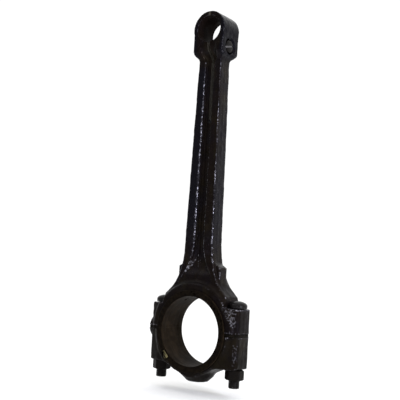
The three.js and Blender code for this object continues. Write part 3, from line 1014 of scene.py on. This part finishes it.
class Recipe:
    """A material in the making: short calls that add and join shader nodes."""

    def __init__(self, name):
        self.material = bpy.data.materials.new(name)
        self.material.use_nodes = True
        self.tree = self.material.node_tree
        self.shader = self.tree.nodes["Principled BSDF"]
        self.place = self.node("ShaderNodeTexCoord").outputs["Object"]

    def node(self, kind, **settings):
        made = self.tree.nodes.new(kind)
        for key, value in settings.items():
            setattr(made, key, value)
        return made

    def stretched(self, amounts):
        """The place, scaled along each axis."""
        mapping = self.node("ShaderNodeMapping")
        feed(mapping.inputs["Vector"], self.place)
        mapping.inputs["Scale"].default_value = amounts
        return mapping.outputs["Vector"]

    def noise(self, size, detail=4, rough=0.6, where=None):
        """Cloudy noise with features of a size in millimetres."""
        made = self.node("ShaderNodeTexNoise")
        feed(made.inputs["Vector"], where or self.place)
        made.inputs["Scale"].default_value = 1 / (size * MM)
        made.inputs["Detail"].default_value = detail
        made.inputs["Roughness"].default_value = rough
        return made.outputs["Fac"]

    def cells(self, size):
        """Distance from the nearest of many scattered points, a size in millimetres apart."""
        made = self.node("ShaderNodeTexVoronoi")
        feed(made.inputs["Vector"], self.place)
        made.inputs["Scale"].default_value = 1 / (size * MM)
        return made.outputs["Distance"]

    def span(self, value, low, high, to_low=0.0, to_high=1.0):
        return map_range(self.tree, value, low, high, to_low, to_high)

    def maths(self, operation, first, second=0.0):
        made = self.node("ShaderNodeMath", operation=operation)
        feed(made.inputs[0], first)
        feed(made.inputs[1], second)
        return made.outputs[0]

    def times(self, first, second):
        return self.maths("MULTIPLY", first, second)

    def plus(self, first, second):
        return self.maths("ADD", first, second)

    def blend(self, factor, first, second):
        """From the first colour at 0 to the second at 1."""
        made = self.node("ShaderNodeMix", data_type="RGBA")
        feed(made.inputs["Factor"], factor)
        for number, colour in ((MIX_FIRST, first), (MIX_SECOND, second)):
            feed(made.inputs[number], (*colour, 1) if isinstance(colour, tuple) else colour)
        return made.outputs[MIX_RESULT]

    def clouds(self, noise, low, high, first, second):
        """Two colours that pass into each other where the noise goes from low to high."""
        return self.blend(self.span(noise, low, high), first, second)

    def bump(self, height, depth, under=None):
        """Surface relief; depth in millimetres for a height of one."""
        made = self.node("ShaderNodeBump")
        made.inputs["Distance"].default_value = depth * MM
        feed(made.inputs["Height"], height)
        if under is not None:
            feed(made.inputs["Normal"], under)
        return made.outputs["Normal"]

    def part(self, axis, absolute=True):
        """One coordinate of the place, in millimetres."""
        split = self.node("ShaderNodeSeparateXYZ")
        feed(split.inputs[0], self.place)
        value = self.times(split.outputs[axis], 1 / MM)
        return self.maths("ABSOLUTE", value) if absolute else value

    def painted(self, name):
        """The numbers that paint() kept on the mesh, or 0 where there are none."""
        return self.node("ShaderNodeAttribute", attribute_name=name).outputs["Fac"]

    def done(self, colour, roughness, normal, **fixed):
        feed(self.shader.inputs["Base Color"], colour)
        feed(self.shader.inputs["Roughness"], roughness)
        feed(self.shader.inputs["Normal"], normal)
        for name, value in fixed.items():
            self.shader.inputs[name.replace("_", " ")].default_value = value
        return self.material


def forged_steel(name, tint):
    """Dark forging scale under a film of oil: pitted, streaked and rubbed bright on its edges, with painted
    highlights on marked patches and painted shade in holes.
    """
    dark, light, streaked = tint
    mat = Recipe(name)
    cloud = mat.noise(9, 5, 0.62)
    fine = mat.noise(1.1, 4, 0.65)
    streak = mat.noise(8, 3, 0.5, mat.stretched((1.0, 1.0, 0.5)))
    pits = mat.cells(1.5)
    height = mat.part(2, absolute=False)
    clamp_foot = (FACET_TOP_Z, FACET_TOP_Z + 10)
    above_boss = mat.span(height, -28, -24, 0.15, 1)
    below_clamp = mat.span(height, *clamp_foot, 1, 0.25)
    # Rubbed metal on worn edges and painted highlights on the marked patches; both are weaker on the cap's
    # bottom and the clamp.
    rub_and_glint = mat.times(mat.span(mat.painted("edge"), 0.4, 0.85), mat.span(mat.noise(1.7, 4, 0.7), 0.5, 0.62))
    rub_and_glint = mat.times(mat.times(rub_and_glint, above_boss), below_clamp)

    # The left flange and the beam's outer sides are tinted violet.
    left_side = mat.span(mat.part(0, absolute=False), -6, -4.5, 1, 0)
    left_flange = mat.times(left_side, mat.span(height, 225, 240, 1, 0))
    violet = mat.maths("MAXIMUM", left_flange, mat.span(mat.part(0), 11, 13.5))
    violet = mat.times(violet, mat.span(height, 60, 100, 0, 0.8))

    colour = mat.clouds(cloud, 0.35, 0.65, dark, light)
    colour = mat.blend(mat.span(streak, 0.48, 0.7, 0, 0.8), colour, streaked)
    colour = mat.blend(violet, colour, (0.0028, 0.0026, 0.0046))
    # The saw cut is painted lighter, as bare sawn steel and as a painted lit wall.
    colour = mat.blend(mat.painted("sawn_and_lit"), colour, (0.045, 0.040, 0.032))
    colour = mat.blend(rub_and_glint, colour, (0.20, 0.195, 0.22))
    colour = mat.blend(mat.painted("bore"), colour, (0.0040, 0.0018, 0.0012))
    # Holes and pits are painted nearly black: painted shade.
    colour = mat.blend(mat.painted("hole"), colour, (0.0006, 0.0004, 0.0003))

    # Duller in the pin bore, in the channels and on the big end.
    in_channel = mat.times(mat.span(mat.part(1), 5.2, 6.4, 0.3, 0), mat.span(mat.part(0), 7, 9, 1, 0))
    big_end = mat.span(height, 20, 60, 0.2, 0)
    roughness = mat.plus(mat.span(fine, 0.3, 0.7, 0.13, 0.25), mat.span(cloud, 0.4, 0.62, 0.14, -0.02))
    for duller in (mat.times(mat.painted("bore"), 0.5), in_channel, big_end):
        roughness = mat.plus(roughness, duller)

    normal = mat.bump(mat.span(pits, 0.0, 0.35), 0.025)
    normal = mat.bump(fine, 0.055, normal)
    normal = mat.bump(mat.noise(0.45, 2, 0.5), 0.012, normal)

    # The oil film tints the shine brown to violet, and is thinner on the big end and the clamp.
    film = mat.clouds(mat.noise(14, 3, 0.55), 0.4, 0.6, (1.0, 0.80, 0.58), (0.78, 0.76, 1.0))
    film = mat.blend(violet, film, (0.84, 0.86, 1.0))
    oil = mat.times(mat.span(height, 25, 70, 0.41, 1), mat.span(height, *clamp_foot, 1, 0.42))
    feed(mat.shader.inputs["Specular Tint"], mat.blend(oil, (0.0, 0.0, 0.0), film))
    # Rubbed edges and painted highlights shine as metal.
    feed(mat.shader.inputs["Metallic"], mat.times(rub_and_glint, 0.85))
    return mat.done(colour, roughness, normal, Specular_IOR_Level=0.085)


def babbitt_metal():
    """Bored white metal, stained brown by oil, scored round the bore and dull on its flanges."""
    mat = Recipe("babbitt_metal")
    cloud = mat.noise(7, 4, 0.6)
    scores = mat.noise(1.2, 3, 0.6, mat.stretched((0.12, 1.8, 0.12)))
    stain = mat.noise(16, 3, 0.55)
    colour = mat.clouds(cloud, 0.35, 0.65, (0.0075, 0.0048, 0.0026), (0.0160, 0.0108, 0.0062))
    colour = mat.blend(mat.span(stain, 0.45, 0.7, 0, 0.7), colour, (0.0055, 0.0040, 0.0030))
    flange = mat.span(mat.part(1), LINING_HALF_WIDTH - 0.5, LINING_HALF_WIDTH - 0.2)
    dirt = mat.noise(3, 4, 0.65)
    grime = mat.clouds(dirt, 0.4, 0.65, (0.0022, 0.0016, 0.0013), (0.0068, 0.0048, 0.0030))
    colour = mat.blend(flange, colour, grime)
    colour = mat.blend(mat.painted("bare_and_glint"), colour, (0.27, 0.235, 0.12))
    # Holes and pits are painted nearly black: painted shade.
    colour = mat.blend(mat.painted("hole"), colour, (0.0010, 0.0007, 0.0005))
    roughness = mat.span(scores, 0.3, 0.7, 0.48, 0.7)
    normal = mat.bump(scores, 0.03)
    normal = mat.bump(mat.noise(0.8, 3, 0.6), 0.03, normal)
    brown = (1.0, 0.80, 0.55, 1)
    return mat.done(colour, roughness, normal, Specular_IOR_Level=0.03, Specular_Tint=brown)


def shim_brass():
    """Thin rolled brass, tarnished brown and oily."""
    mat = Recipe("shim_brass")
    cloud = mat.noise(4, 4, 0.6)
    colour = mat.clouds(cloud, 0.3, 0.7, (0.006, 0.0042, 0.0022), (0.003, 0.0023, 0.0016))
    roughness = mat.span(mat.noise(0.8, 3), 0.3, 0.7, 0.5, 0.7)
    normal = mat.bump(mat.noise(0.5, 2), 0.02)
    return mat.done(colour, roughness, normal, Metallic=0.2, Specular_IOR_Level=0.05)


def fastener_steel(name, light, gloss):
    """Blackened, oily steel of bolts, nuts, screw and washer, clouded with a lighter colour."""
    mat = Recipe(name)
    cloud = mat.noise(3.5, 4, 0.62)
    fine = mat.noise(0.6, 3, 0.6)
    colour = mat.clouds(cloud, 0.38, 0.68, (0.0045, 0.0036, 0.0033), light)
    roughness = mat.span(fine, 0.3, 0.7, 0.2, 0.34)
    normal = mat.bump(fine, 0.03)
    # Bare metal, and the painted highlight on the screw's slot floor.
    bare_and_glint = mat.painted("bare_and_glint")
    colour = mat.blend(bare_and_glint, colour, (0.12, 0.115, 0.12))
    feed(mat.shader.inputs["Metallic"], mat.times(bare_and_glint, 0.6))
    return mat.done(colour, roughness, normal, Specular_IOR_Level=gloss)


# ---- assembly


def build():
    """Every piece, with its material, its body and the CAD node that it stands for."""
    rod_tint = ((0.0026, 0.0016, 0.0013), (0.0050, 0.0034, 0.0034), (0.0074, 0.0054, 0.0028))
    cap_tint = ((0.0026, 0.0018, 0.0012), (0.0050, 0.0038, 0.0030), (0.0076, 0.0058, 0.0030))
    rod_steel = forged_steel("rod_forged_steel", rod_tint)
    cap_steel = forged_steel("cap_forged_steel", cap_tint)
    babbitt = babbitt_metal()
    brass = shim_brass()
    bolt_steel = fastener_steel("bolt_black_steel", (0.0095, 0.0083, 0.0082), 0.1)
    nut_steel = fastener_steel("nut_black_steel", (0.0060, 0.0048, 0.0038), 0.03)
    screw_steel = fastener_steel("screw_steel", (0.0075, 0.0068, 0.0068), 0.07)
    place(make_rod(), "rod", "rod_forging", rod_steel, "rod_body")
    place(make_cap(), "cap", "cap_forging", cap_steel, "bearing_cap")
    place(make_upper_lining(), "rod", "babbitt", babbitt, "upper_bearing_lining")
    place(make_lower_lining(), "cap", "babbitt", babbitt, "lower_bearing_lining")
    for word, side in (("left", -1), ("right", 1)):
        bolt = make_bolt(f"{word}_bolt", side, 3 + side)
        place(bolt, "rod", "bolt_steel", bolt_steel, f"{word}_big_end_bolt")
        place(make_nut(f"{word}_nut", side), f"{word}_nut", "nut_steel", nut_steel, f"{word}_big_end_nut")
        for level in ("upper", "lower"):
            shim = make_shim(f"{word}_{level}_shim_pack", side, level == "upper")
            place(shim, "cap", "shim_brass", brass, f"{word}_{level}_shim")
    place(make_screw(), "screw", "screw_steel", screw_steel, "pinch_screw")
    place(make_washer(), "lock_washer", "screw_steel", screw_steel, "pinch_lock_washer")


# ---- stage, light and camera

# Place in metres, turn in degrees, lens in millimetres; the floor's sizes are millimetres.
CAMERA_PLACE = (0.37153, -0.53836, 0.05787)
CAMERA_TURN = (94.9069, -3.4078, 34.8456)
CAMERA_LENS = 66.887
FLOOR_HALF_SIZE = 8000
FLOOR_GAP = 0.5


def make_camera():
    """The camera, at the photograph's viewing angle."""
    data = bpy.data.cameras.new("camera")
    data.lens = CAMERA_LENS
    data.sensor_width = 36
    camera = bpy.data.objects.new("camera", data)
    camera.location = CAMERA_PLACE
    camera.rotation_euler = [math.radians(angle) for angle in CAMERA_TURN]
    bpy.context.scene.collection.objects.link(camera)
    bpy.context.scene.camera = camera


def make_floor():
    """A wide pale floor, just under the nuts when the cap is drawn down as far as it goes."""
    joints = {joint["name"]: joint for joint in frame["record"]["behaviour"]["joints"]}
    cap_travel = joints["cap_slide"]["range_m"][1] / MM
    level = NUT_LOW[2] - cap_travel - FLOOR_GAP
    around = ((-1, -1), (1, -1), (1, 1), (-1, 1))
    corners = [(x * FLOOR_HALF_SIZE, y * FLOOR_HALF_SIZE, level) for x, y in around]
    floor = mesh_object("floor", corners, [(0, 1, 2, 3)])
    mat = Recipe("pale_floor")
    colour = mat.clouds(mat.noise(300, 2), 0.3, 0.7, (0.93, 0.93, 0.925), (0.96, 0.96, 0.955))
    mat.done(colour, 0.7, mat.bump(mat.noise(2, 2), 0.01))
    floor.data.materials.append(mat.material)


def soft_light(name, spot, size, power, colour=(1, 1, 1), aim=(0, 0, 0.12)):
    """A rectangular lamp turned towards a point; places and sizes in metres, power in watts."""
    data = bpy.data.lights.new(name, "AREA")
    data.shape = "RECTANGLE"
    data.size, data.size_y = size
    data.energy = power
    data.color = colour
    light = bpy.data.objects.new(name, data)
    light.location = spot
    light.rotation_euler = (Vector(aim) - Vector(spot)).to_track_quat("-Z", "Y").to_euler()
    bpy.context.scene.collection.objects.link(light)


def make_lights():
    """Two tall lamps for the bright edges on the right and in front, and a soft one above."""
    soft_light("side", (1.15, -0.42, 0.3), (0.09, 0.8), 14, (0.84, 0.87, 1.0), (0, 0, 0.2))
    soft_light("front", (0.5, -1.1, 0.2), (0.06, 0.5), 0.8, (0.9, 0.88, 1.0), (0, 0, 0.05))
    soft_light("top", (0.1, 0.2, 1.5), (1.0, 1.0), 2)


def make_world():
    """Room light from all round, brighter behind the rod (+Y) than in front of it."""
    world = bpy.data.worlds.new("room")
    bpy.context.scene.world = world
    world.use_nodes = True
    tree = world.node_tree
    back = tree.nodes["Background"]
    where = tree.nodes.new("ShaderNodeTexCoord")
    split = tree.nodes.new("ShaderNodeSeparateXYZ")
    feed(split.inputs[0], where.outputs["Generated"])
    horizon = map_range(tree, split.outputs["Y"], -0.5, 0.6, 0.35, 1.05)
    strength = map_range(tree, split.outputs["Z"], 0.2, 0.75, horizon, 1.25)
    feed(back.inputs["Strength"], strength)
    back.inputs["Color"].default_value = (1, 1, 1, 1)


bpy.context.scene.view_settings.view_transform = "Standard"
make_camera()
build()
make_floor()
make_lights()
make_world()
